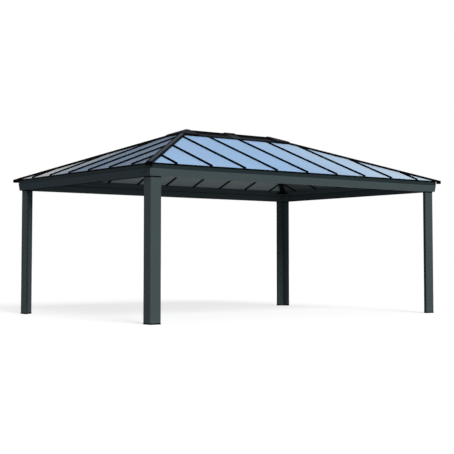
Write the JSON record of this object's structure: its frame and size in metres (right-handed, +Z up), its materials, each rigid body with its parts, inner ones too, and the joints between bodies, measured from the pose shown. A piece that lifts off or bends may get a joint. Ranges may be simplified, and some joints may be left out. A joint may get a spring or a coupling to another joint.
{
  "type": "metal gazebo",
  "caption": "Free-standing hip-roofed metal gazebo with angle-section corner posts, gutter beams, translucent roof panels, glazing bars and a raised ridge cap.",
  "frame": {"origin": "centre of the footprint at ground level", "axes": "+X along the long sides, +Y towards the back, +Z up; the front faces -Y"},
  "size_m": [6.209, 4.359, 3.16],
  "materials": {
    "frame_paint": "satin",
    "gutter_paint": "satin",
    "black_paint": "satin",
    "cap_paint": "satin",
    "roof_panel": "gloss"
  },
  "bodies": {
    "root": {"post_front_left": "frame_paint", "hip_rafter_front_left": "black_paint", "hip_cap_front_left": "cap_paint", "post_front_right": "frame_paint", "hip_rafter_front_right": "black_paint", "hip_cap_front_right": "cap_paint", "post_back_right": "frame_paint", "hip_rafter_back_right": "black_paint", "hip_cap_back_right": "cap_paint", "post_back_left": "frame_paint", "hip_rafter_back_left": "black_paint", "hip_cap_back_left": "cap_paint", "beam_front": "frame_paint", "gutter_front": "gutter_paint", "rafters_front": "black_paint", "panels_front": "roof_panel", "glazing_caps_front": "black_paint", "eave_trim_front": "black_paint", "beam_right": "frame_paint", "gutter_right": "gutter_paint", "rafters_right": "black_paint", "panels_right": "roof_panel", "glazing_caps_right": "black_paint", "eave_trim_right": "black_paint", "beam_back": "frame_paint", "gutter_back": "gutter_paint", "rafters_back": "black_paint", "panels_back": "roof_panel", "glazing_caps_back": "black_paint", "eave_trim_back": "black_paint", "beam_left": "frame_paint", "gutter_left": "gutter_paint", "rafters_left": "black_paint", "panels_left": "roof_panel", "glazing_caps_left": "black_paint", "eave_trim_left": "black_paint", "corner_seats": "frame_paint", "foot_plates": "frame_paint", "hip_shoes": "black_paint", "ridge_beam": "black_paint", "hip_end_plates": "cap_paint", "ridge_cap_left": "cap_paint", "ridge_cap_right": "cap_paint", "ridge_cap_strap": "cap_paint", "ridge_end_covers": "cap_paint"}
  },
  "joints": []
}
